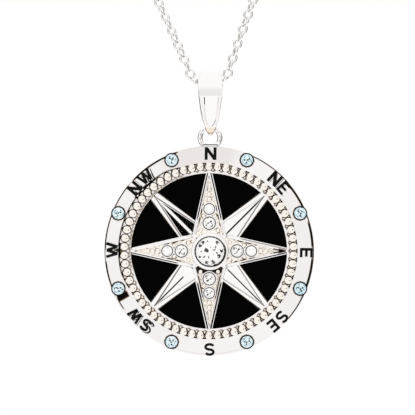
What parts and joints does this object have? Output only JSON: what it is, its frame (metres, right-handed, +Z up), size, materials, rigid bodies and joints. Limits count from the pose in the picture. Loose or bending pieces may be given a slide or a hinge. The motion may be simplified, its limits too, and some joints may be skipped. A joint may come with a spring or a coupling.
{
  "type": "compass pendant necklace",
  "caption": "Round silver pendant with an eight-armed compass star over black enamel, clear and light blue stones, a tapered bail and a fine cable chain.",
  "frame": {"origin": "middle of the clasp at the back of the neck, where the necklace hangs", "axes": "+Z up, the pendant hangs towards -Z, and its face looks along -Y, with east on +X"},
  "size_m": [0.1057, 0.0038, 0.223],
  "materials": {
    "silver": "polished silver with a bright rhodium finish",
    "enamel": "glossy black enamel",
    "clear_stone": "clear faceted stone",
    "blue_stone": "light blue faceted stone"
  },
  "bodies": {
    "chain": {"chain_left": "silver", "chain_right": "silver", "clasp": "silver"},
    "bail": {"bail": "silver"},
    "pendant": {"disc_casting": "silver", "enamel_1": "enamel", "enamel_2": "enamel", "enamel_3": "enamel", "enamel_4": "enamel", "enamel_5": "enamel", "enamel_6": "enamel", "enamel_7": "enamel", "enamel_8": "enamel", "centre_stone": "clear_stone", "arm_stone_1": "clear_stone", "arm_stone_2": "clear_stone", "arm_stone_3": "clear_stone", "arm_stone_4": "clear_stone", "arm_stone_5": "clear_stone", "arm_stone_6": "clear_stone", "arm_stone_7": "clear_stone", "arm_stone_8": "clear_stone", "rim_stone_1": "blue_stone", "rim_stone_2": "blue_stone", "rim_stone_3": "blue_stone", "rim_stone_4": "blue_stone", "rim_stone_5": "blue_stone", "rim_stone_6": "blue_stone", "rim_stone_7": "blue_stone", "rim_stone_8": "blue_stone"}
  },
  "joints": [
    {"name": "bail_swing", "type": "hinge", "parent": "chain", "child": "bail", "pos_m": [0, 0, -0.187], "axis": [1, 0, 0], "range_deg": [-75, 75]},
    {"name": "pendant_swing", "type": "hinge", "parent": "bail", "child": "pendant", "pos_m": [0, 0, -0.1926], "axis": [1, 0, 0], "range_deg": [-60, 60]}
  ]
}
